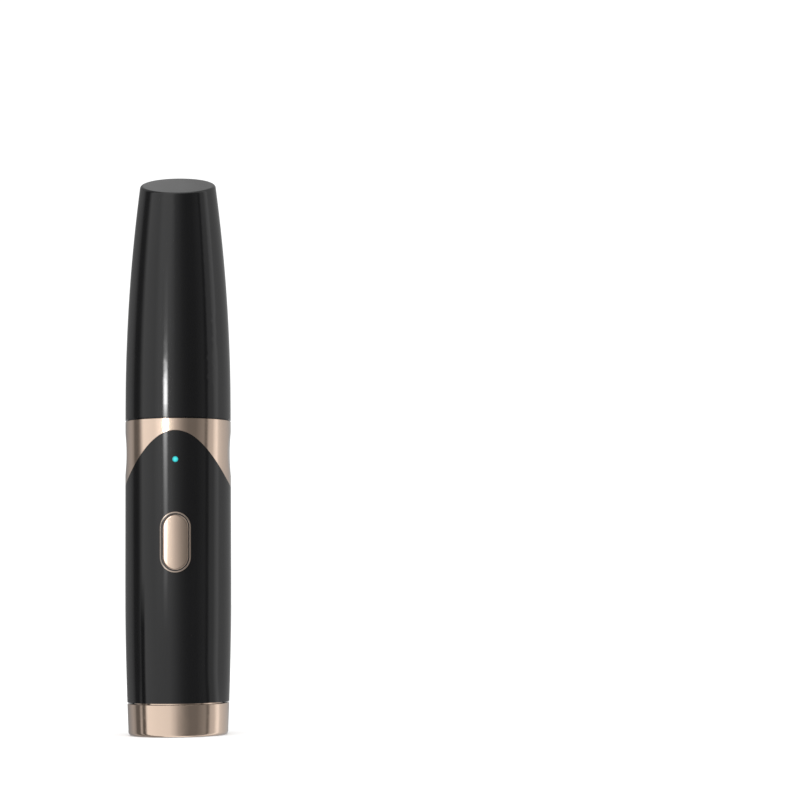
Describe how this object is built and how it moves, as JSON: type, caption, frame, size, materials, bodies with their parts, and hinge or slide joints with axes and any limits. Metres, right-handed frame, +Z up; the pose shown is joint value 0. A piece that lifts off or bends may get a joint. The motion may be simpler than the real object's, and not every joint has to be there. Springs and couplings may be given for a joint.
{
  "type": "heated eyelash curler",
  "caption": "Pen-shaped heated eyelash curler standing on its base, with a toothed heated comb under a pull-off slant-topped cap.",
  "frame": {"origin": "centre of the base it stands on (middle of the overall footprint, button included, to within 0.2 mm)", "axes": "+Z up along the handle towards the cap; -Y is the front, where the button and the light are; +X is to the right seen from the front"},
  "size_m": [0.024, 0.0244, 0.1288],
  "materials": {
    "black_gloss": "high gloss black",
    "rose_gold": "satin rose gold",
    "black_satin": "fine satin",
    "heatproof_plastic": "matt glass-filled",
    "chassis_plastic": "matt moulded",
    "heater_metal": "dark non-stick coat",
    "ceramic_heater": "matt",
    "nickel_steel": "nickel plated",
    "switch_steel": "satin",
    "board_green": "solder mask",
    "chip_black": "moulded epoxy",
    "light_chip_white": "diffused",
    "cyan_lens": "clear, lit cyan",
    "battery_film": "shrink film",
    "wire_red": "soft",
    "wire_black": "soft"
  },
  "bodies": {
    "handle": {"body_shell": "black_gloss", "collar": "rose_gold", "base_band": "rose_gold", "button_ring": "rose_gold", "base_plate": "black_satin", "neck": "black_satin", "nose_cone": "black_satin", "comb_bar": "black_satin", "comb_guard": "black_satin", "comb_holder": "heatproof_plastic", "chassis": "chassis_plastic", "heater_plate": "heater_metal", "heater_core": "ceramic_heater", "charge_socket_shell": "nickel_steel", "charge_socket_tongue": "black_satin", "charge_board": "board_green", "circuit_board": "board_green", "switch_body": "switch_steel", "light_chip": "light_chip_white", "light_pipe": "cyan_lens", "board_screws": "nickel_steel", "board_chips": "chip_black", "battery_cell": "nickel_steel", "battery_sleeve": "battery_film", "heater_leads": "wire_black", "battery_lead_red": "wire_red", "battery_lead_black": "wire_black", "charge_leads": "wire_red"},
    "button": {"button": "rose_gold", "switch_plunger": "black_satin"},
    "cap": {"cap": "black_gloss"}
  },
  "joints": [
    {"name": "cap_pull", "type": "slide", "parent": "handle", "child": "cap", "axis": [0, 0, 1], "range_m": [0, 0.056]},
    {"name": "button_press", "type": "slide", "parent": "handle", "child": "button", "axis": [0, 1, 0], "range_m": [0, 0.00035], "stiffness_N_per_m": 1500, "springref_m": -0.0005}
  ]
}
